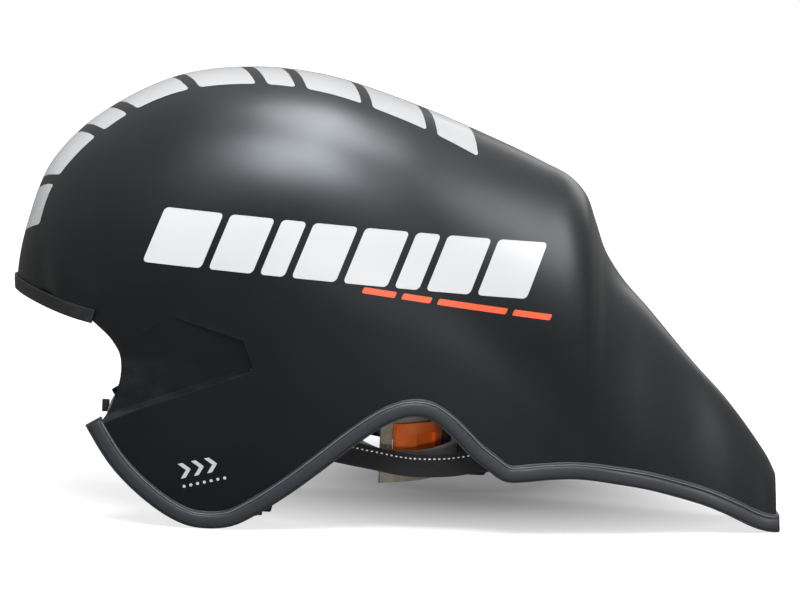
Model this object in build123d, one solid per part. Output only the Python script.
from build123d import *
import math
import os

# Aero time trial helmet, front towards -X, tail towards +X, resting on its ear flaps and tail tip.

# Overall size
LENGTH = 414.0
HEIGHT = 238.7
WIDTH = 200.0

# Walls and clearances
SHELL_WALL = 2.4
LINER_GAP = 0.3
SLIP_GAP = 0.2
SLACK = 0.3
OVERRUN = 12.0

# Shell stations, front to back: top point x and z, low point x and z, half width, depth from the
# top to the widest point, all as shares of length, height and half width, then the roundness
# of the arch and how far the sides tuck in below the widest point
STATION_SHARES = [
    (-0.4890, 0.419, -0.3865, 0.314, 0.900, 0.469, 2.00, 0.00),
    (-0.4990, 0.503, -0.3865, 0.243, 0.900, 0.469, 2.00, 0.00),
    (-0.4965, 0.561, -0.3865, 0.151, 0.910, 0.469, 2.00, 0.00),
    (-0.4865, 0.641, -0.3865, 0.050, 0.920, 0.469, 2.00, 0.00),
    (-0.4601, 0.767, -0.3865, -0.05, 0.930, 0.469, 2.00, 0.00),
    (-0.4203, 0.850, -0.3816, -0.05, 0.940, 0.469, 2.00, 0.02),
    (-0.3696, 0.915, -0.3575, -0.05, 0.960, 0.469, 2.00, 0.05),
    (-0.3019, 0.972, -0.2995, -0.05, 0.985, 0.469, 2.00, 0.07),
    (-0.1981, 1.000, -0.1981, -0.05, 1.000, 0.469, 2.00, 0.08),
    (-0.1111, 0.989, -0.1111, -0.05, 0.995, 0.474, 2.00, 0.06),
    (-0.0121, 0.942, -0.0121, -0.05, 0.970, 0.492, 2.00, 0.04),
    (0.1039, 0.867, 0.1039, -0.05, 0.910, 0.520, 1.90, 0.02),
    (0.1812, 0.809, 0.1812, -0.05, 0.840, 0.548, 1.80, 0.00),
    (0.2174, 0.777, 0.2174, -0.05, 0.800, 0.560, 1.74, 0.00),
    (0.2367, 0.742, 0.2367, -0.05, 0.778, 0.555, 1.70, 0.00),
    (0.2512, 0.681, 0.2512, -0.05, 0.759, 0.530, 1.67, 0.00),
    (0.2657, 0.614, 0.2657, -0.05, 0.739, 0.503, 1.63, 0.00),
    (0.2874, 0.557, 0.2874, -0.05, 0.708, 0.484, 1.58, 0.00),
    (0.3237, 0.489, 0.3237, -0.05, 0.650, 0.455, 1.50, 0.00),
    (0.3841, 0.372, 0.3841, -0.05, 0.535, 0.395, 1.40, 0.00),
    (0.4324, 0.285, 0.4324, -0.05, 0.430, 0.310, 1.35, 0.00),
    (0.4734, 0.195, 0.4734, -0.05, 0.325, 0.235, 1.35, 0.00),
    (0.4879, 0.159, 0.4879, -0.05, 0.290, 0.201, 1.35, 0.00),
    (0.4990, 0.122, 0.4990, -0.05, 0.260, 0.176, 1.35, 0.00),
]
TAIL_ROUND_START_SHARE = 0.4734
LEAST_SLANT = 0.5
ARCH_STEPS = 7
SIDE_STEPS = 4

# Lower edge of the shell in side view, as shares of length and height
BROW_EDGE_SHARES = [(-0.5060, 0.492), (-0.4760, 0.480), (-0.4350, 0.464), (-0.3840, 0.446)]
PORT_EDGE_SHARES = [
    (-0.3840, 0.446), (-0.3580, 0.406), (-0.3478, 0.377), (-0.3454, 0.347),
    (-0.3471, 0.316), (-0.3515, 0.290), (-0.3580, 0.257), (-0.3700, 0.222),
]
HEM_EDGE_SHARES = [
    (-0.3850, 0.213), (-0.3745, 0.183), (-0.3548, 0.133), (-0.3336, 0.093), (-0.3126, 0.061),
    (-0.2920, 0.035), (-0.2715, 0.015), (-0.2512, 0.003), (-0.2309, 0.000), (-0.2010, 0.007),
    (-0.1713, 0.034), (-0.1418, 0.068), (-0.1126, 0.106), (-0.0800, 0.152), (-0.0411, 0.207),
    (-0.0022, 0.250), (0.0176, 0.261), (0.0377, 0.260), (0.0580, 0.240), (0.0787, 0.208),
    (0.0995, 0.173), (0.1200, 0.146), (0.1408, 0.123), (0.1609, 0.122), (0.1913, 0.127),
    (0.2355, 0.129), (0.2857, 0.117), (0.3244, 0.104), (0.3630, 0.085), (0.4024, 0.063),
    (0.4423, 0.033), (0.4686, 0.011), (0.4830, 0.003), (0.5200, 0.000),
]
EDGE_LIFT = 0.42

# Rubber trim
TRIM_THICK = 1.6
TRIM_BAND = 7.6
TRIM_UNDER = 1.4
BROW_TRIM_BAND = 5.6

# Visor pocket on each side, in side view, and how deep its floor lies at each corner
POCKET_SHARES = [
    (-0.3111, 0.432), (-0.2879, 0.464), (-0.1940, 0.415), (-0.1802, 0.353), (-0.1826, 0.349),
    (-0.3601, 0.227), (-0.4000, 0.200), (-0.4000, 0.360),
]
POCKET_FLOOR_SHARES = [(-0.3043, 0.982, 0.4357), (-0.1810, 0.993, 0.3520), (-0.3600, 0.955, 0.2280)]
POCKET_DEPTH = 3.6
POCKET_BLEND_DEPTH = 0.2

# Foam liner and the head space in it
HEAD_LENGTH = 205.0
HEAD_WIDTH = 156.0
HEAD_RISE = 96.0
HEAD_CENTRE_SHARES = (-0.2005, 0.494)
LINER_EDGE_SHARES = [
    (-0.5200, 0.522), (-0.4300, 0.511), (-0.3700, 0.474), (-0.3350, 0.400), (-0.3000, 0.325),
    (-0.2400, 0.314), (-0.1700, 0.328), (-0.0950, 0.345), (0.0000, 0.345), (0.0800, 0.320), (0.1350, 0.270),
    (0.1860, 0.250),
]
LINER_END_SHARE = 0.186
RELIEF_START_SHARE = 0.020
RELIEF_END_SHARE = 0.150
RELIEF_HALF_WIDTH = 52.0
RELIEF_TOP_SHARE = 0.400
TAIL_FOAM_GAP = 0.6
TAIL_FOAM_END_SHARE = 0.375
TAIL_FOAM_FLOOR_SHARE = 0.330

# Comfort pads, each held by thin hook discs
PAD_THICK = 5.0
DISC_THICK = 0.8
DISC_RADIUS = 7.0
CROWN_PAD_WIDTH = 26.0
CROWN_PAD_LENGTH = 92.0
CROWN_PAD_OFFSET = 36.0
BROW_PAD_WIDTH = 92.0
BROW_PAD_HEIGHT = 26.0
BROW_PAD_FLOOR_SHARE = 0.525
SIDE_PAD_LENGTH = 62.0
SIDE_PAD_HEIGHT = 24.0
SIDE_PAD_FLOOR_SHARE = 0.410
REAR_PAD_WIDTH = 80.0
REAR_PAD_HEIGHT = 32.0
REAR_PAD_FLOOR_SHARE = 0.500
EAR_PAD_PLAN_SHARES = [(-0.420, 0.790), (-0.360, 0.820), (-0.240, 0.845), (-0.140, 0.855)]
EAR_PAD_SHARES = [
    (-0.3640, 0.240), (-0.3600, 0.266), (-0.3500, 0.292), (-0.3300, 0.300), (-0.2900, 0.290),
    (-0.1930, 0.288), (-0.1600, 0.250), (-0.1740, 0.120), (-0.2050, 0.080), (-0.2500, 0.072),
    (-0.2900, 0.100), (-0.3260, 0.170), (-0.3480, 0.210),
]
EAR_TAB_LENGTH = 5.0
EAR_TAB_WIDTH = 3.0
EAR_TAB_HEIGHT = 6.6
EAR_TAB_WALL = 1.0
EAR_TAB_SHARES = (-0.3672, 0.2565)
EAR_TAB_Y_SHARE = 0.795

# Webbing, its divider and cam lever
WEB_WIDTH = 12.0
WEB_THICK = 1.4
STRAP_Y_SHARE = 0.770
FRONT_STRAP_TOP_SHARES = (-0.3110, 0.360)
DIVIDER_SHARES = (-0.1860, 0.180)
REAR_STRAP_SHARES = [
    (-0.1640, 0.182), (-0.1000, 0.180), (-0.0300, 0.162), (0.0200, 0.149), (0.0650, 0.151), (0.1180, 0.165),
    (0.1510, 0.166),
]
REAR_BAR_SHARE = 0.139
LOOP_LENGTH = 16.0
DIVIDER_SIZE = 27.0
DIVIDER_THICK = 5.0
DIVIDER_CORNER = 5.0
SOCKET_DEPTH = 6.0
LEVER_LENGTH = 15.0
LEVER_WIDTH = 12.0
LEVER_THICK = 2.0
LEVER_PIN_RADIUS = 1.0
LEVER_RISE = 7.0
EAR_THICK = 2.2
CHIN_BEND_RADIUS = 22.0

# Rear strap hanger, screwed up into the liner
HANGER_LENGTH = 14.0
HANGER_THICK = 3.0
HANGER_BAR = 3.0
HANGER_FLANGE_WIDTH = 16.0
HANGER_SEAT_SHARE = 0.280
SCREW_RADIUS = 1.5
SCREW_HEAD_RADIUS = 2.8
SCREW_HEAD_THICK = 1.6
SCREW_LENGTH = 9.0

# Side release buckle, lying just over the floor between the flaps
BUCKLE_WIDTH = 24.0
BUCKLE_THICK = 6.4
BUCKLE_WALL = 1.2
BUCKLE_CORNER = 1.2
FEMALE_LENGTH = 27.0
FEMALE_BASE = 7.0
MALE_LENGTH = 13.0
PRONG_LENGTH = 16.0
PRONG_WIDTH = 3.4
BUCKLE_FLOOR_GAP = 0.4
BUCKLE_OFFSET = 7.0

# Strap keeper
KEEPER_WALL = 1.3
KEEPER_LENGTH = 6.0
KEEPER_Y_SHARE = 0.385

# Retention: temple pins, toothed bands, nape cradle and dial
PIN_SHARES = (-0.2415, 0.356)
PIN_RADIUS = 2.5
PIN_HEAD_RADIUS = 4.4
PIN_HEAD_THICK = 1.2
TEMPLE_DISC_RADIUS = 8.0
TEMPLE_DISC_THICK = 4.0
TEMPLE_DISC_PROUD = 1.0
BAND_THICK = 1.6
BAND_WIDTH = 8.0
RACK_HEAD_REACH = 3.0
BAND_TRAVEL_IN = 5.0
BAND_TRAVEL_OUT = 3.0
BAND_RISE_SHARES = [
    (0.0700, 0.168), (0.0550, 0.162), (0.0200, 0.156), (-0.0150, 0.160), (-0.0500, 0.185), (-0.0900, 0.220),
    (-0.1600, 0.293), (-0.2200, 0.344), (-0.2650, 0.364),
]
CRADLE_Z_SHARE = 0.168
YOKE_BACK_SHARE = 0.0655
YOKE_RADIUS = 61.5
YOKE_THICK = 3.5
YOKE_HEIGHT = 27.0
YOKE_HALF_ANGLE = 55.0
YOKE_POCKET_DEPTH = 2.0
YOKE_POCKET_HEIGHT = 15.0
YOKE_POCKET_WIDTH = 17.0
YOKE_POCKET_ANGLE = 33.0
FRAME_THICK = 1.6
FRAME_HEIGHT = 36.0
FRAME_HALF_ANGLE = 62.0
FRAME_BAR = 7.0
NAPE_PAD_THICK = 4.0
NAPE_PAD_START_ANGLE = 8.0
NAPE_PAD_END_ANGLE = 44.0
HOUSING_RADIUS = 17.0
HOUSING_LENGTH = 11.5
HOUSING_WALL = 1.6
HOUSING_BOSS_RADIUS = 2.6
HOUSING_SCREW_RADIUS = 1.2
HOUSING_SCREW_SPREAD = 11.4
KNOB_RADIUS = 18.0
KNOB_LENGTH = 11.0
KNOB_GAP = 0.6
KNOB_ROUND = 2.6
SCALLOP_RADIUS = 3.0
SCALLOP_DEPTH = 1.3
SCALLOPS = 14
SHAFT_RADIUS = 2.2
RUNNING_GAP = 0.08
CAP_RADIUS = 8.0
CAP_THICK = 1.2
TOOTH_MODULE = 0.9
PINION_TEETH = 8
PINION_LENGTH = 2.2
TOOTH_WIDTH_SHARE = 0.374
TOOTH_TIP_SHARE = 0.50
TOOTH_ABOVE_SHARE = 0.75
TOOTH_BELOW_SHARE = 1.0
RACK_BACK = 2.0

HALF_WIDTH = WIDTH / 2


def px(share):
    return share * LENGTH


def pz(share):
    return share * HEIGHT


def side_point(shares):
    """A point of the side view, from shares of length and height."""
    return (px(shares[0]), pz(shares[1]))


def side_face(points):
    """A flat face in the side view through straight runs between points."""
    return Face(Wire.make_polygon([Vector(x, 0, z) for x, z in points], close=True))


def across(face, y_low=-WIDTH, y_high=WIDTH):
    """A prism of a side view face, from one y to another."""
    return extrude(face.moved(Location((0, y_low, 0))), y_high - y_low, dir=(0, 1, 0))


def mirrored(shape):
    return mirror(shape, about=Plane.XZ)


def block(x0, x1, y0, y1, z0, z1):
    """A box between two corners."""
    middle = Location(((x0 + x1) / 2, (y0 + y1) / 2, (z0 + z1) / 2))
    return Box(x1 - x0, y1 - y0, z1 - z0).moved(middle)


def along_y(radius, y0, y1, x, z):
    """A round bar along y, at x and z."""
    bar = Cylinder(radius, y1 - y0, align=(Align.CENTER, Align.CENTER, Align.MIN))
    return Plane(origin=(x, y0, z), x_dir=(1, 0, 0), z_dir=(0, 1, 0)) * bar


def along_x(radius, x0, x1, y, z):
    """A round bar along x, at y and z."""
    bar = Cylinder(radius, x1 - x0, align=(Align.CENTER, Align.CENTER, Align.MIN))
    return Plane(origin=(x0, y, z), x_dir=(0, 1, 0), z_dir=(1, 0, 0)) * bar


# Shell surface


def inward_normal(index):
    """Unit vector into the helmet, square to its top line at a station, in side view."""
    before = side_point(STATION_SHARES[max(index - 1, 0)][0:2])
    after = side_point(STATION_SHARES[min(index + 1, len(STATION_SHARES) - 1)][0:2])
    tx, tz = after[0] - before[0], after[1] - before[1]
    size = math.hypot(tx, tz)
    return tz / size, -tx / size


def station_wire(index, grow, skirt):
    """One closed section of the helmet, grown outwards by a distance and lengthened below by skirt."""
    shares = STATION_SHARES[index]
    tx, tz = side_point(shares[0:2])
    lx, lz = side_point(shares[2:4])
    half_width, depth = shares[4] * HALF_WIDTH, shares[5] * HEIGHT
    roundness, tuck = shares[6], shares[7]
    nx, nz = inward_normal(index)
    end_share = STATION_SHARES[-1][0]
    late = max(0.0, (shares[0] - TAIL_ROUND_START_SHARE) / (end_share - TAIL_ROUND_START_SHARE))
    dx, dz = lx - tx, lz - tz
    length = math.hypot(dx, dz)
    dx, dz = dx / length, dz / length
    slant = max(dx * nx + dz * nz, LEAST_SLANT)
    if lx != tx:
        depth = depth / slant
    reach = depth + grow * slant
    tx, tz = tx - nx * grow * (1 - late) + grow * late, tz - nz * grow
    if index == 0:
        tx, tz = tx + dz * skirt, tz - dx * skirt
    half_width += grow
    steps = ARCH_STEPS + SIDE_STEPS
    half = []
    if length > reach:
        for j in range(ARCH_STEPS + 1):
            turn = math.pi / 2 * j / ARCH_STEPS
            drop = 1 - max(math.cos(turn), 0.0) ** (2 / roundness)
            half.append((drop * reach, half_width * math.sin(turn) ** (2 / roundness)))
        for j in range(1, SIDE_STEPS + 1):
            run = (length - reach) * j / SIDE_STEPS
            half.append((reach + run, half_width * (1 - tuck * (j / SIDE_STEPS) ** 2)))
    else:
        last = math.acos((1 - length / reach) ** (roundness / 2))
        for j in range(steps + 1):
            turn = last * j / steps
            drop = 1 - math.cos(turn) ** (2 / roundness)
            half.append((drop * reach, half_width * math.sin(turn) ** (2 / roundness)))
    half[-1] = (half[-1][0] + skirt, half[-1][1])
    left = [Vector(tx + dx * run, -y, tz + dz * run) for run, y in reversed(half)]
    right = [Vector(tx + dx * run, y, tz + dz * run) for run, y in half[1:]]
    points = left + right
    return Wire([Edge.make_spline(points), Edge.make_line(points[-1], points[0])])


def helmet_form(grow=0.0, skirt=0.0):
    """The whole outer form of the helmet as one solid, grown by a distance."""
    wires = [station_wire(i, grow, skirt) for i in range(len(STATION_SHARES))]
    return Solid.make_loft(wires)


# Side view outlines


def offset_line(points, distance):
    """Points moved square to their line, to its left as it runs."""
    moved = []
    for i, (x, z) in enumerate(points):
        before, after = points[max(i - 1, 0)], points[min(i + 1, len(points) - 1)]
        tx, tz = after[0] - before[0], after[1] - before[1]
        size = math.hypot(tx, tz)
        moved.append((x - tz / size * distance, z + tx / size * distance))
    return moved


def edge_points(shares, lift=0.0):
    return [(x, z + lift) for x, z in map(side_point, shares)]


def side_spline(points):
    return Edge.make_spline([Vector(x, 0, z) for x, z in points])


def closed_side_face(edges, corners):
    """A side view face bounded by edges and then straight runs through the corners."""
    start, end = edges[0] @ 0, edges[-1] @ 1
    stops = [end, *[Vector(x, 0, z) for x, z in corners], start]
    lines = [Edge.make_line(a, b) for a, b in zip(stops, stops[1:])]
    return Face(Wire([*edges, *lines]))


def below_edge_face():
    """Everything below the shell's lower edge, in side view."""
    brow = edge_points(BROW_EDGE_SHARES)
    port = edge_points(PORT_EDGE_SHARES)
    hem = edge_points(HEM_EDGE_SHARES, EDGE_LIFT + TRIM_UNDER)
    link = Edge.make_line(Vector(port[-1][0], 0, port[-1][1]), Vector(hem[0][0], 0, hem[0][1]))
    lead = Edge.make_line(Vector(-LENGTH, 0, brow[0][1]), Vector(brow[0][0], 0, brow[0][1]))
    edges = [lead, side_spline(brow), side_spline(port), link, side_spline(hem)]
    return closed_side_face(edges, [(LENGTH, -HEIGHT), (-LENGTH, -HEIGHT)])


def strip_face(points, above, below):
    """A side view strip from below to above a line of points."""
    upper, lower = offset_line(points, above), offset_line(points, -below)
    up, down = side_spline(upper), side_spline(list(reversed(lower)))
    ends = [Edge.make_line(up @ 1, down @ 0), Edge.make_line(down @ 1, up @ 0)]
    return Face(Wire([up, ends[0], down, ends[1]]))


# Visor pocket


def pocket_floor_points(extra):
    """Three points of the flat pocket floor on the left side, moved inwards by extra."""
    depths = (POCKET_BLEND_DEPTH, POCKET_DEPTH, POCKET_DEPTH)
    return [(px(x), depth + extra - y * HALF_WIDTH, pz(z))
            for (x, y, z), depth in zip(POCKET_FLOOR_SHARES, depths)]


def pocket_tool(margin, extra):
    """What is cut from the left side of a form to make the pocket."""
    outline = side_face([side_point(s) for s in POCKET_SHARES])
    if margin:
        outline = offset(outline, margin, kind=Kind.INTERSECTION).face()
    prism = across(outline, -WIDTH, 0)
    a, b, c = (Vector(*p) for p in pocket_floor_points(extra))
    normal = (b - a).cross(c - a).normalized()
    if normal.Y > 0:
        normal = normal * -1
    floor = Plane(origin=a, z_dir=normal)
    return prism & (floor * Box(LENGTH * 2, LENGTH * 2, WIDTH, align=(Align.CENTER, Align.CENTER, Align.MIN)))


def with_pockets(form, margin=0.0, extra=0.0):
    tool = pocket_tool(margin, extra)
    return form - tool - mirrored(tool)


# Rigid body pieces


def make_shell(below):
    outer = with_pockets(helmet_form()) - below
    inner = with_pockets(helmet_form(-SHELL_WALL, OVERRUN), SHELL_WALL, SHELL_WALL)
    return (outer - inner).solids().sort_by(SortBy.VOLUME)[-1]


def make_trim(shell, points, above, below):
    """A rubber channel that grips the shell's edge along a line."""
    strip = across(strip_face(points, above, below))
    wrap = helmet_form(TRIM_THICK, OVERRUN) & strip
    wrap = wrap - helmet_form(-SHELL_WALL - TRIM_THICK, OVERRUN * 2)
    return (wrap - shell).solids().sort_by(SortBy.VOLUME)[-1]


# Foam liner, tail foam and comfort pads


def head_form(inset):
    """The head space, domed above its widest level and straight below it, shrunk by a distance."""
    x, z = side_point(HEAD_CENTRE_SHARES)
    length, width, rise = HEAD_LENGTH / 2 - inset, HEAD_WIDTH / 2 - inset, HEAD_RISE - inset
    floor = -HEIGHT / rise
    arc = Edge.make_three_point_arc((1, 0, 0), (math.sqrt(0.5), 0, math.sqrt(0.5)), (0, 0, 1))
    lines = [Edge.make_line((0, 0, 1), (0, 0, floor)), Edge.make_line((0, 0, floor), (1, 0, floor)),
             Edge.make_line((1, 0, floor), (1, 0, 0))]
    form = revolve(Face(Wire([arc, *lines])), Axis.Z)
    return scale(form, by=(length, width, rise)).moved(Location((x, 0, z)))


def liner_region():
    edge = side_spline(edge_points(LINER_EDGE_SHARES))
    end = px(LINER_END_SHARE)
    return across(closed_side_face([edge], [(end, HEIGHT * 2), (-LENGTH, HEIGHT * 2)]))


def make_liner(lining):
    back, front = px(RELIEF_END_SHARE), px(RELIEF_START_SHARE)
    half, top = RELIEF_HALF_WIDTH, pz(RELIEF_TOP_SHARE)
    liner = (lining & liner_region()) - head_form(0)
    liner = liner - block(front, back, -half, half, -HEIGHT, top)
    return liner.solids().sort_by(SortBy.VOLUME)[-1]


def make_tail_foam(lining):
    start, end = px(LINER_END_SHARE) + TAIL_FOAM_GAP, px(TAIL_FOAM_END_SHARE)
    region = block(start, end, -WIDTH, WIDTH, pz(TAIL_FOAM_FLOOR_SHARE), HEIGHT * 2)
    return (lining & region).solids().sort_by(SortBy.VOLUME)[-1]


def pad_layer(region):
    outer = 2 * LINER_GAP + DISC_THICK
    return (head_form(outer) - head_form(outer + PAD_THICK)) & region


def disc_layer(region):
    return (head_form(LINER_GAP) - head_form(LINER_GAP + DISC_THICK)) & region


def head_x(share):
    """A place along the head space, as a share of its half length from its middle."""
    return px(HEAD_CENTRE_SHARES[0]) + share * HEAD_LENGTH / 2


def upright(x, y, z_low):
    disc = Cylinder(DISC_RADIUS, HEIGHT, align=(Align.CENTER, Align.CENTER, Align.MIN))
    return disc.moved(Location((x, y, z_low)))


def make_pads():
    """Brow, crown, side and rear pads, and the hook discs behind them."""
    middle = head_x(0)
    brow_z, side_z, rear_z = pz(BROW_PAD_FLOOR_SHARE), pz(SIDE_PAD_FLOOR_SHARE), pz(REAR_PAD_FLOOR_SHARE)
    half = BROW_PAD_WIDTH / 2
    pads = {"brow_pad": pad_layer(block(-LENGTH, middle, -half, half, brow_z, brow_z + BROW_PAD_HEIGHT))}
    half = REAR_PAD_WIDTH / 2
    pads["rear_pad"] = pad_layer(block(middle, LENGTH, -half, half, rear_z, rear_z + REAR_PAD_HEIGHT))
    crown = block(middle - CROWN_PAD_LENGTH / 2, middle + CROWN_PAD_LENGTH / 2,
                  -CROWN_PAD_OFFSET - CROWN_PAD_WIDTH / 2, -CROWN_PAD_OFFSET + CROWN_PAD_WIDTH / 2,
                  pz(HEAD_CENTRE_SHARES[1]), HEIGHT)
    pads["crown_pad_left"] = pad_layer(crown)
    side = block(middle - SIDE_PAD_LENGTH / 2, middle + SIDE_PAD_LENGTH / 2,
                 -WIDTH, 0, side_z, side_z + SIDE_PAD_HEIGHT)
    pads["side_pad_left"] = pad_layer(side)
    discs = []
    for y in (-BROW_PAD_WIDTH / 3, 0, BROW_PAD_WIDTH / 3):
        level = brow_z + BROW_PAD_HEIGHT / 2
        discs.append(disc_layer(along_x(DISC_RADIUS, -LENGTH, middle, y, level)))
    for y in (-REAR_PAD_WIDTH / 4, REAR_PAD_WIDTH / 4):
        level = rear_z + REAR_PAD_HEIGHT / 2
        discs.append(disc_layer(along_x(DISC_RADIUS, middle, LENGTH, y, level)))
    for x in (middle - CROWN_PAD_LENGTH / 3, middle + CROWN_PAD_LENGTH / 3):
        disc = disc_layer(upright(x, -CROWN_PAD_OFFSET, pz(HEAD_CENTRE_SHARES[1])))
        discs += [disc, mirrored(disc)]
    for x in (middle - SIDE_PAD_LENGTH / 4, middle + SIDE_PAD_LENGTH / 4):
        disc = disc_layer(along_y(DISC_RADIUS, -WIDTH, 0, x, side_z + SIDE_PAD_HEIGHT / 2))
        discs += [disc, mirrored(disc)]
    solids = [solid for disc in discs for solid in disc.solids()]
    pads["pad_fasteners"] = Compound(solids)
    return pads


def make_ear_pad(lining):
    outline = edge_points(EAR_PAD_SHARES)
    ring = Edge.make_spline([Vector(x, 0, z) for x, z in outline], periodic=True)
    region = across(Face(Wire([ring])), -WIDTH, 0)
    face = [(px(x), -y * HALF_WIDTH) for x, y in EAR_PAD_PLAN_SHARES]
    face += [(face[-1][0], -WIDTH), (face[0][0], -WIDTH)]
    plan = Face(Wire.make_polygon([Vector(x, y, 0) for x, y in face], close=True))
    pad = lining & (region & extrude(plan, HEIGHT, dir=(0, 0, 1)))
    return pad - ear_tab_block(SLACK)


def ear_tab_block(grow):
    """The outer block of the pull tab on the left side."""
    x, z = side_point(EAR_TAB_SHARES)
    y = -HALF_WIDTH * EAR_TAB_Y_SHARE
    half, wide, high = EAR_TAB_LENGTH / 2 + grow, EAR_TAB_WIDTH / 2 + grow, EAR_TAB_HEIGHT / 2 + grow
    return block(x - half, x + half, y - wide, y + wide, z - high, z + high)


def make_ear_tab():
    """A small webbing pull let into the front of the ear pad."""
    x, z = side_point(EAR_TAB_SHARES)
    half, high = EAR_TAB_LENGTH / 2 - EAR_TAB_WALL, EAR_TAB_HEIGHT / 2 - EAR_TAB_WALL
    return ear_tab_block(0) - block(x - half, x + half, -WIDTH, 0, z - high, z + high)


# Webbing and its hardware


def strap_plane():
    return -STRAP_Y_SHARE * HALF_WIDTH


def divider_place():
    return side_point(DIVIDER_SHARES)


def band_of_web(points, grow, y_middle, thick):
    """A flat web that follows side view points, standing on edge."""
    half = WEB_WIDTH / 2 + grow
    face = strip_face(points, half, half)
    return across(face, y_middle - thick / 2, y_middle + thick / 2)


def make_front_strap(grow=0.0):
    x, z = divider_place()
    top = side_point(FRONT_STRAP_TOP_SHARES)
    tx, tz = x - top[0], z - top[1]
    size = math.hypot(tx, tz)
    reach = size - DIVIDER_SIZE / 2 + SOCKET_DEPTH
    ux, uz = tx / size, tz / size
    start = (top[0] - ux * grow, top[1] - uz * grow)
    end = (top[0] + ux * (reach + grow), top[1] + uz * (reach + grow))
    middle = ((start[0] + end[0]) / 2, (start[1] + end[1]) / 2)
    return band_of_web([start, middle, end], grow, strap_plane(), WEB_THICK + 2 * grow)


def rear_web_step():
    """How far the rear web lies from the strap plane, to clear the hanger's plate."""
    return HANGER_THICK / 2 + SLACK + WEB_THICK / 2


def make_rear_strap(grow=0.0):
    """The rear web, with its stitched loop round the bar of the hanger."""
    points = edge_points(REAR_STRAP_SHARES)
    y = strap_plane()
    bar = px(REAR_BAR_SHARE)
    gap = rear_web_step()
    outer = band_of_web(points, grow, y - gap, WEB_THICK + 2 * grow)
    inner = band_of_web(points, grow, y + gap, WEB_THICK + 2 * grow)
    bridge = band_of_web(points, grow, y, 2 * gap + WEB_THICK)
    after = bar + HANGER_BAR + SLACK
    end = after + WEB_THICK
    keep = block(-LENGTH, end, -WIDTH, 0, -HEIGHT, HEIGHT)
    loop = block(end - LOOP_LENGTH, end, -WIDTH, 0, -HEIGHT, HEIGHT)
    turn = block(after, end, -WIDTH, 0, -HEIGHT, HEIGHT)
    start = divider_place()[0] + DIVIDER_SIZE / 2 - SOCKET_DEPTH - grow
    keep = keep & block(start, LENGTH, -WIDTH, 0, -HEIGHT, HEIGHT)
    return (outer & keep) + (inner & loop) + (bridge & turn)


def buckle_level():
    return BUCKLE_FLOOR_GAP + BUCKLE_THICK / 2


def make_chin_strap(end_y, grow=0.0):
    """The chin web in one plane across the helmet, down from the divider and along the floor."""
    x, z = divider_place()
    y, low, radius = strap_plane(), buckle_level(), CHIN_BEND_RADIUS
    half, thin = WEB_WIDTH / 2 + grow, WEB_THICK / 2 + grow
    top = z - DIVIDER_SIZE / 2 + SOCKET_DEPTH + grow
    drop = block(x - half, x + half, y - thin, y + thin, low + radius, top)
    run = block(x - half, x + half, y + radius, end_y, low - thin, low + thin)
    outer = along_x(radius + thin, x - half, x + half, y + radius, low + radius)
    inner = along_x(radius - thin, x - half, x + half, y + radius, low + radius)
    corner = block(x - half, x + half, y - thin, y + radius, low - thin, low + radius)
    return drop + run + ((outer - inner) & corner)


def make_divider():
    """A plate where three webs meet, with two ears and a pin for its cam lever."""
    x, z = divider_place()
    y = strap_plane()
    half, thin = DIVIDER_SIZE / 2, DIVIDER_THICK / 2
    plate = block(x - half, x + half, y - thin, y + thin, z - half, z + half)
    plate = fillet(plate.edges().filter_by(Axis.Y), DIVIDER_CORNER)
    plate = plate + rear_socket_block(rear_web_step())
    plate = plate - make_front_strap(SLIP_GAP) - make_rear_strap(SLIP_GAP) - make_chin_strap(0, SLIP_GAP)
    face, pin_y, pin_z = y + thin, y + thin + SLACK + LEVER_THICK, z + LEVER_RISE
    reach = LEVER_WIDTH / 2 + SLACK
    for side in (-1, 1):
        near, far = sorted((x + side * reach, x + side * (reach + EAR_THICK)))
        ear = block(near, far, face - thin / 2, pin_y, pin_z - LEVER_THICK, pin_z + LEVER_THICK)
        plate = plate + ear + along_x(LEVER_THICK, near, far, pin_y, pin_z)
    reach = reach + EAR_THICK / 2
    return plate + along_x(LEVER_PIN_RADIUS, x - reach, x + reach, pin_y, pin_z)


def rear_socket_block(step):
    """The raised end of the divider that takes the rear web."""
    x, z = divider_place()
    y, half = strap_plane() - step, DIVIDER_SIZE / 2
    depth = WEB_THICK / 2 + BUCKLE_WALL
    return block(x + half - SOCKET_DEPTH - BUCKLE_WALL, x + half, y - depth, strap_plane(),
                 z - WEB_WIDTH / 2 - BUCKLE_WALL, z + WEB_WIDTH / 2 + BUCKLE_WALL)


def lever_pin():
    """Where the cam lever turns: x, y and z of the middle of its pin on the left side."""
    x, z = divider_place()
    return x, strap_plane() + DIVIDER_THICK / 2 + SLACK + LEVER_THICK, z + LEVER_RISE


def make_lever():
    x, y, z = lever_pin()
    half = LEVER_WIDTH / 2
    barrel = along_x(LEVER_THICK, x - half, x + half, y, z)
    plate = block(x - half, x + half, y - LEVER_THICK, y, z - LEVER_LENGTH, z)
    bore = along_x(LEVER_PIN_RADIUS + RUNNING_GAP, x - LEVER_WIDTH, x + LEVER_WIDTH, y, z)
    return barrel + plate - bore


def hanger_seat():
    """The flat seat cut into the liner above the hanger."""
    x, y, z = px(REAR_BAR_SHARE), strap_plane(), pz(HANGER_SEAT_SHARE)
    near, far = y - HANGER_THICK / 2, y - HANGER_THICK / 2 + HANGER_FLANGE_WIDTH
    return block(x - SLACK, x + HANGER_LENGTH + SLACK, near - SLACK, far + SLACK, 0, z + SLACK)


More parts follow.
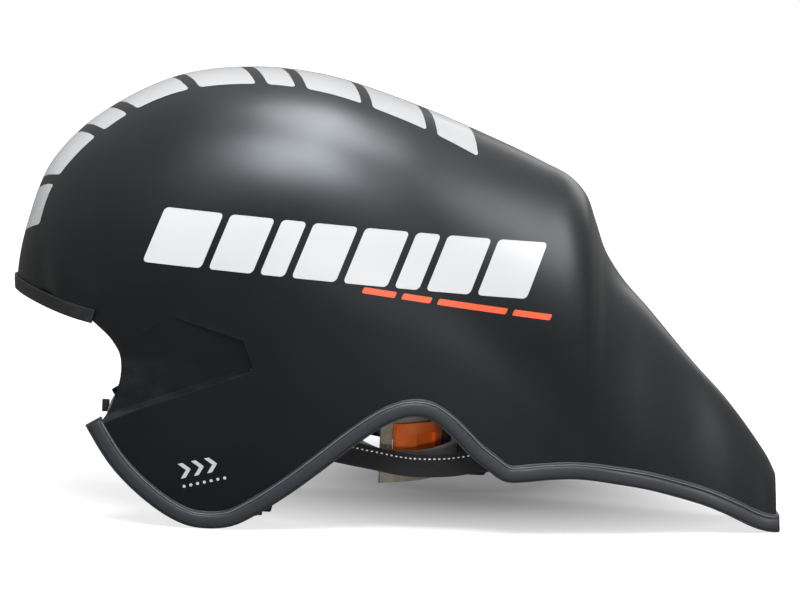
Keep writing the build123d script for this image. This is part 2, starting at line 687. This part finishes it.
def make_hanger():
    """A tab below the liner with a slot for the rear web and a flange for its screw."""
    x, y, z = px(REAR_BAR_SHARE), strap_plane(), pz(HANGER_SEAT_SHARE)
    thin = HANGER_THICK / 2
    low = pz(REAR_STRAP_SHARES[-1][1]) - WEB_WIDTH / 2 - SLACK - HANGER_BAR
    slot_top = pz(REAR_STRAP_SHARES[-1][1]) + WEB_WIDTH / 2 + 3 * SLACK
    plate = block(x, x + HANGER_LENGTH, y - thin, y + thin, low, z)
    slot_end = x + HANGER_BAR + 2 * SLACK + 2 * WEB_THICK
    plate = plate - block(x + HANGER_BAR, slot_end, -WIDTH, 0, low + HANGER_BAR, slot_top)
    near, far = y - thin, y - thin + HANGER_FLANGE_WIDTH
    plate = plate + block(x, x + HANGER_LENGTH, near, far, z - HANGER_THICK, z)
    return plate - screw_at(SLIP_GAP)


def screw_at(grow=0.0):
    """The hanger's screw, up through the inner side of the flange into the liner."""
    x = px(REAR_BAR_SHARE) + HANGER_LENGTH / 2
    y = strap_plane() + HANGER_FLANGE_WIDTH / 2
    z = pz(HANGER_SEAT_SHARE) - HANGER_THICK
    low = (Align.CENTER, Align.CENTER, Align.MAX)
    high = (Align.CENTER, Align.CENTER, Align.MIN)
    head = Cylinder(SCREW_HEAD_RADIUS, SCREW_HEAD_THICK, align=low).moved(Location((x, y, z)))
    stem = Cylinder(SCREW_RADIUS + grow, SCREW_LENGTH + grow, align=high).moved(Location((x, y, z)))
    return stem if grow else head + stem


# Side release buckle and keeper


def buckle_box(y0, y1, inset, height_inset):
    x, z = divider_place()[0], buckle_level()
    half, high = BUCKLE_WIDTH / 2 - inset, BUCKLE_THICK / 2 - height_inset
    return block(x - half, x + half, y0, y1, z - high, z + high)


def make_buckle_female():
    y1 = BUCKLE_OFFSET
    y0 = y1 - FEMALE_LENGTH
    body = buckle_box(y0, y1, 0, 0)
    body = fillet(body.edges().filter_by(Axis.Y), BUCKLE_CORNER)
    hollow = buckle_box(y0 + FEMALE_BASE, y1 + BUCKLE_WALL, BUCKLE_WALL, BUCKLE_WALL)
    body = body - hollow
    middle = y1 - PRONG_LENGTH / 2
    reach = PRONG_WIDTH + BUCKLE_WALL
    windows = buckle_box(middle - reach / 2, middle + reach / 2, -BUCKLE_WALL, BUCKLE_WALL)
    return body - windows - make_chin_strap(y0 + SOCKET_DEPTH, SLIP_GAP)


def make_buckle_male():
    """The prong half, free to slide along its own web."""
    x, z = divider_place()[0], buckle_level()
    y0 = BUCKLE_OFFSET + SLACK
    base = buckle_box(y0, y0 + MALE_LENGTH, 0, 0)
    base = fillet(base.edges().filter_by(Axis.Y), BUCKLE_CORNER)
    high = BUCKLE_THICK / 2 - BUCKLE_WALL - SLACK
    outer = BUCKLE_WIDTH / 2 - BUCKLE_WALL - SLACK
    for side in (-1, 1):
        near, far = sorted((x + side * (outer - PRONG_WIDTH), x + side * outer))
        prong = block(near, far, y0 - PRONG_LENGTH, y0, z - high, z + high)
        base = base + prong
    half, thin = WEB_WIDTH / 2 + SLACK, WEB_THICK / 2 + SLACK
    return base - block(x - half, x + half, y0 - MALE_LENGTH, y0 + 2 * MALE_LENGTH, z - thin, z + thin)


def make_keeper():
    y = -KEEPER_Y_SHARE * HALF_WIDTH
    x, z = divider_place()[0], buckle_level()
    half, thin = WEB_WIDTH / 2 + SLACK, WEB_THICK / 2 + SLACK
    wall, long = KEEPER_WALL, KEEPER_LENGTH / 2
    ring = block(x - half - wall, x + half + wall, y - long, y + long, z - thin - wall, z + thin + wall)
    return ring - block(x - half, x + half, -WIDTH, 0, z - thin, z + thin)


# Temple pins, bands, nape cradle and dial


def liner_wall_y(x):
    """How far the liner's inner wall lies from the middle at x, below the head's widest level."""
    along = (x - head_x(0)) / (HEAD_LENGTH / 2)
    return HEAD_WIDTH / 2 * math.sqrt(1 - along ** 2)


def temple_face_y():
    """The outer limit of the band's eye: the proud face of the temple disc on the left side."""
    return -liner_wall_y(px(PIN_SHARES[0])) + TEMPLE_DISC_PROUD


def band_y():
    """The middle of the band's thickness at the temple, at rest."""
    return temple_face_y() + SLACK + BAND_TRAVEL_OUT + BAND_THICK / 2


def make_temple_pin(grow=0.0):
    """A disc let into the liner, with the pin that carries the band."""
    x, z = side_point(PIN_SHARES)
    face = temple_face_y()
    disc = along_y(TEMPLE_DISC_RADIUS + grow, face - TEMPLE_DISC_THICK - grow, face, x, z)
    if grow:
        return disc
    free = BAND_THICK + BAND_TRAVEL_IN + BAND_TRAVEL_OUT + 2 * SLACK
    pin = along_y(PIN_RADIUS, face, face + free, x, z)
    head = along_y(PIN_HEAD_RADIUS, face + free, face + free + PIN_HEAD_THICK, x, z)
    return disc + pin + head


def axle_x():
    """The plane of the pinion and the racks, inside the housing."""
    return px(YOKE_BACK_SHARE) + HOUSING_LENGTH / 2 - HOUSING_WALL / 2 + BAND_THICK / 2


def pitch_radius():
    return TOOTH_MODULE * PINION_TEETH / 2


def band_height():
    return 2 * (pitch_radius() + TOOTH_BELOW_SHARE * TOOTH_MODULE + RACK_BACK)


def tooth_face(root, tip):
    """A straight sided tooth in a plane, pointing up, from root to tip height."""
    wide = TOOTH_WIDTH_SHARE * math.pi * TOOTH_MODULE
    narrow = TOOTH_TIP_SHARE * wide
    return Polygon((-wide / 2, root), (wide / 2, root), (narrow / 2, tip), (-narrow / 2, tip), align=None)


def band_outline():
    """The band in side view: a high head at the rack, a strip and an eye, as a prism on the left side."""
    half, eye_x = band_height() / 2, px(PIN_SHARES[0])
    x, z = axle_x(), pz(CRADLE_Z_SHARE)
    line = [(x + BAND_WIDTH, z), *edge_points(BAND_RISE_SHARES)]
    strip = across(strip_face(line, BAND_WIDTH / 2, BAND_WIDTH / 2), -WIDTH, 0)
    strip = strip + block(x - RACK_HEAD_REACH, x + BAND_WIDTH, -WIDTH, 0, z - half, z + half)
    eye = along_y(TEMPLE_DISC_RADIUS - SLACK, -WIDTH, 0, eye_x, pz(PIN_SHARES[1]))
    return strip - block(-LENGTH, eye_x, -WIDTH, 0, -HEIGHT, HEIGHT) + eye


def make_plain_band():
    """The band without its rack: a short run behind the housing, a bend and the run to the temple."""
    x, start, thin = axle_x(), HOUSING_RADIUS + BAND_TRAVEL_OUT - SLACK, BAND_THICK / 2
    outer_y, end = -band_y(), px(PIN_SHARES[0])
    radius = outer_y - start
    back = block(x - thin, x + thin, -start, -start + SLACK, 0, HEIGHT)
    run = block(end - TEMPLE_DISC_RADIUS, x - radius, -outer_y - thin, -outer_y + thin, 0, HEIGHT)
    low = (Align.CENTER, Align.CENTER, Align.MIN)
    bend = Cylinder(radius + thin, HEIGHT, align=low) - Cylinder(radius - thin, HEIGHT, align=low)
    bend = bend.moved(Location((x - radius, -start, 0)))
    bend = bend & block(x - radius, x + radius, -WIDTH, -start, 0, HEIGHT)
    band = (back + bend + run) & band_outline()
    return band - along_y(PIN_RADIUS + RUNNING_GAP, -WIDTH, 0, end, pz(PIN_SHARES[1]))


def make_rack():
    """The toothed end of the left band, above the pinion."""
    x, z = axle_x(), pz(CRADLE_Z_SHARE)
    start, thin = HOUSING_RADIUS + BAND_TRAVEL_OUT - SLACK, BAND_THICK / 2
    root = pitch_radius() + TOOTH_BELOW_SHARE * TOOTH_MODULE
    tip = pitch_radius() - TOOTH_ABOVE_SHARE * TOOTH_MODULE
    step, inside = math.pi * TOOTH_MODULE, HOUSING_RADIUS - HOUSING_WALL - SLACK
    rack_end = math.sqrt(inside ** 2 - (band_height() / 2) ** 2) - BAND_TRAVEL_IN - SLACK
    rack = block(x - thin, x + thin, -start, rack_end, z + root, z + root + RACK_BACK)
    first, last = int((inside - BAND_TRAVEL_IN) / step), int(rack_end / step)
    for i in range(-first, last + 1):
        y = (i - 0.5) * step
        tooth = extrude(tooth_face(0, root - tip), thin, both=True)
        place = Plane(origin=(x, y, z + root), x_dir=(0, 1, 0), z_dir=(-1, 0, 0))
        rack = rack + place * tooth
    return rack


def make_band(side):
    """A toothed band: rack above the pinion on the left side (-1), below it on the right (1)."""
    plain, rack = make_plain_band(), make_rack()
    if side < 0:
        return plain + rack
    level = Plane(origin=(0, 0, pz(CRADLE_Z_SHARE)), z_dir=(0, 0, 1))
    return mirrored(plain) + mirrored(mirror(rack, about=level))


def arc_layer(radius_out, radius_in, low, high, angle0, angle1):
    """Part of an upright ring about the cradle's centre, from one angle to another in degrees."""
    outer = Cylinder(radius_out, high - low, arc_size=angle1 - angle0, align=None)
    inner = Cylinder(radius_in, high - low, align=None)
    centre = px(YOKE_BACK_SHARE) - YOKE_RADIUS
    ring = outer.rotate(Axis.Z, angle0) - inner
    return ring.moved(Location((centre, 0, low)))


def make_yoke():
    z, half = pz(CRADLE_Z_SHARE), YOKE_HEIGHT / 2
    radius, angle = YOKE_RADIUS, YOKE_HALF_ANGLE
    yoke = arc_layer(radius, radius - YOKE_THICK, z - half, z + half, -angle, angle)
    centre = px(YOKE_BACK_SHARE) - radius
    for side in (-1, 1):
        tool = Box(YOKE_POCKET_DEPTH * 2, YOKE_POCKET_WIDTH, YOKE_POCKET_HEIGHT)
        tool = tool.moved(Location((radius, 0, 0))).rotate(Axis.Z, side * YOKE_POCKET_ANGLE)
        yoke = yoke - tool.moved(Location((centre, 0, z)))
    return yoke


def make_frame():
    """The thin plate frame inside the yoke, with a window each side of its middle bar."""
    z, half = pz(CRADLE_Z_SHARE), FRAME_HEIGHT / 2
    radius = YOKE_RADIUS - YOKE_THICK - SLIP_GAP
    angle, bar = FRAME_HALF_ANGLE, FRAME_BAR
    frame = arc_layer(radius, radius - FRAME_THICK, z - half, z + half, -angle, angle)
    turn = math.degrees(bar / radius)
    for side in (0, 1):
        first = turn / 2 - side * (angle - turn / 2)
        window = arc_layer(radius + FRAME_THICK, radius - 2 * FRAME_THICK, z - half + bar, z + half - bar,
                           first, first + angle - turn * 1.5)
        frame = frame - window
    return frame


def make_nape_pad():
    z, half = pz(CRADLE_Z_SHARE), FRAME_HEIGHT / 2 - SLACK
    radius = YOKE_RADIUS - YOKE_THICK - SLIP_GAP - FRAME_THICK - LINER_GAP
    return arc_layer(radius, radius - NAPE_PAD_THICK, z - half, z + half,
                     -NAPE_PAD_END_ANGLE, -NAPE_PAD_START_ANGLE)


def boss_places():
    return [(0, pz(CRADLE_Z_SHARE) + side * HOUSING_SCREW_SPREAD) for side in (-1, 1)]


def housing_ends():
    front = px(YOKE_BACK_SHARE)
    return front, front + HOUSING_LENGTH


def make_housing():
    front, back = housing_ends()
    z, wall = pz(CRADLE_Z_SHARE), HOUSING_WALL
    cup = along_x(HOUSING_RADIUS, front - 2 * YOKE_THICK, back - wall, 0, z)
    cup = cup - arc_layer(YOKE_RADIUS + SLIP_GAP, YOKE_RADIUS / 2, 0, HEIGHT, -90, 90)
    cup = cup - along_x(HOUSING_RADIUS - wall, front + wall, back, 0, z)
    for y, level in boss_places():
        boss = along_x(HOUSING_BOSS_RADIUS, front + wall / 2, back - wall, y, level)
        cup = cup + boss - along_x(HOUSING_SCREW_RADIUS + SLIP_GAP, front + wall, back, y, level)
    thin, half = BAND_THICK / 2 + SLACK, band_height() / 2 + 2 * SLACK
    slot = block(axle_x() - thin - SLACK, axle_x() + thin, -WIDTH, WIDTH, z - half, z + half)
    return cup - slot


def make_cover():
    front, back = housing_ends()
    z, wall = pz(CRADLE_Z_SHARE), HOUSING_WALL
    cover = along_x(HOUSING_RADIUS, back - wall + SLIP_GAP, back, 0, z)
    cover = cover - along_x(SHAFT_RADIUS + RUNNING_GAP, front, back + wall, 0, z)
    for y, level in boss_places():
        cover = cover - along_x(HOUSING_SCREW_RADIUS + SLIP_GAP, front, back + wall, y, level)
    return cover


def make_housing_screw(index):
    """A small screw that holds the cover, its head let in flush behind the knob."""
    back = housing_ends()[1]
    y, level = boss_places()[index]
    return along_x(HOUSING_SCREW_RADIUS, back - HOUSING_LENGTH / 2, back + SLIP_GAP, y, level)


def make_knob():
    """A scalloped knob with rounded rims and a bore for its shaft."""
    start = housing_ends()[1] + KNOB_GAP
    end, z = start + KNOB_LENGTH, pz(CRADLE_Z_SHARE)
    knob = along_x(KNOB_RADIUS, start, end, 0, z)
    knob = fillet(knob.edges().filter_by(GeomType.CIRCLE), KNOB_ROUND)
    for i in range(SCALLOPS):
        turn = 2 * math.pi * (i + 0.5) / SCALLOPS
        reach = KNOB_RADIUS + SCALLOP_RADIUS - SCALLOP_DEPTH
        y, level = reach * math.sin(turn), z + reach * math.cos(turn)
        knob = knob - along_x(SCALLOP_RADIUS, start - KNOB_GAP, end + KNOB_GAP, y, level)
    knob = knob - along_x(SHAFT_RADIUS + SLIP_GAP / 4, start - KNOB_GAP, end - CAP_THICK * 2, 0, z)
    return knob - along_x(CAP_RADIUS + SLIP_GAP, end - CAP_THICK, end + KNOB_GAP, 0, z)


def make_cap():
    end, z = housing_ends()[1] + KNOB_GAP + KNOB_LENGTH, pz(CRADLE_Z_SHARE)
    return along_x(CAP_RADIUS, end - CAP_THICK + SLIP_GAP / 4, end, 0, z)


def make_shaft():
    """The pinion on its shaft."""
    z, x, half = pz(CRADLE_Z_SHARE), axle_x(), PINION_LENGTH / 2
    root = pitch_radius() - TOOTH_BELOW_SHARE * TOOTH_MODULE
    tip = pitch_radius() + TOOTH_ABOVE_SHARE * TOOTH_MODULE
    end = housing_ends()[1] + KNOB_GAP + KNOB_LENGTH - CAP_THICK * 2 - SLIP_GAP
    shaft = along_x(root, x - half, x + half, 0, z) + along_x(SHAFT_RADIUS, x - half, end, 0, z)
    for i in range(PINION_TEETH):
        tooth = extrude(tooth_face(root - TOOTH_MODULE / 2, tip), half, both=True)
        place = Plane(origin=(x, 0, z), x_dir=(0, 1, 0), z_dir=(1, 0, 0))
        shaft = shaft + place * tooth.rotate(Axis.Z, 360 * i / PINION_TEETH)
    return shaft


def save(name, shape):
    """Write one piece, keeping only its solids."""
    solids = [solid for solid in shape.solids() if solid.volume > SLIP_GAP ** 3]
    piece = solids[0] if len(solids) == 1 else Compound(solids)
    export_step(piece, os.path.join("parts", name + ".step"))
    size = piece.bounding_box().size
    print(f"{name:22s} solids {len(solids):2d} valid {piece.is_valid} volume {piece.volume:10.0f}"
          f"  {size.X:6.1f} {size.Y:6.1f} {size.Z:6.1f}")


def save_pair(name, shape):
    save(name + "_left", shape)
    save(name + "_right", mirrored(shape))


def main():
    os.makedirs("parts", exist_ok=True)
    below = across(below_edge_face())
    shell = make_shell(below)
    save("outer_shell", shell)
    hem = edge_points(HEM_EDGE_SHARES, EDGE_LIFT + TRIM_UNDER)
    save("edge_trim", make_trim(shell, hem, TRIM_BAND, TRIM_UNDER))
    save("brow_trim", make_trim(shell, edge_points(BROW_EDGE_SHARES), BROW_TRIM_BAND, TRIM_UNDER))

    gap = SHELL_WALL + LINER_GAP
    lining = with_pockets(helmet_form(-gap, OVERRUN), gap, gap)
    liner = make_liner(lining)
    front_strap, hanger = make_front_strap(), make_hanger()
    cuts = [make_front_strap(SLACK), make_temple_pin(SLACK), hanger_seat(), screw_at(SLACK)]
    for cut in cuts:
        liner = liner - cut - mirrored(cut)
    save("eps_liner", liner)
    save("tail_foam", make_tail_foam(lining))
    pads = make_pads()
    for name in ("brow_pad", "rear_pad", "pad_fasteners"):
        save(name, pads[name])
    for name in ("crown_pad", "side_pad"):
        save_pair(name, pads[name + "_left"])
    save_pair("ear_pad", make_ear_pad(lining))
    save_pair("ear_tab", make_ear_tab())

    save_pair("front_strap", front_strap)
    save_pair("rear_strap", make_rear_strap())
    save_pair("strap_divider", make_divider())
    save_pair("cam_lever", make_lever())
    save_pair("strap_hanger", hanger)
    save_pair("hanger_screw", screw_at())
    female_end = BUCKLE_OFFSET - FEMALE_LENGTH + SOCKET_DEPTH
    save("chin_strap_left", make_chin_strap(female_end - SLIP_GAP))
    save("chin_strap_right", mirrored(make_chin_strap(-BUCKLE_OFFSET - 2 * SLACK - BUCKLE_WALL)))
    save("buckle_female", make_buckle_female())
    save("buckle_male", make_buckle_male())
    save("strap_keeper", make_keeper())

    save_pair("temple_pin", make_temple_pin())
    save("band_left", make_band(-1))
    save("band_right", make_band(1))
    save("cradle_yoke", make_yoke())
    save("cradle_frame", make_frame())
    save_pair("nape_pad", make_nape_pad())
    save("dial_housing", make_housing())
    save("dial_cover", make_cover())
    save("cover_screw_low", make_housing_screw(0))
    save("cover_screw_high", make_housing_screw(1))
    save("dial_knob", make_knob())
    save("dial_shaft", make_shaft())
    save("dial_cap", make_cap())


if __name__ == "__main__":
    main()
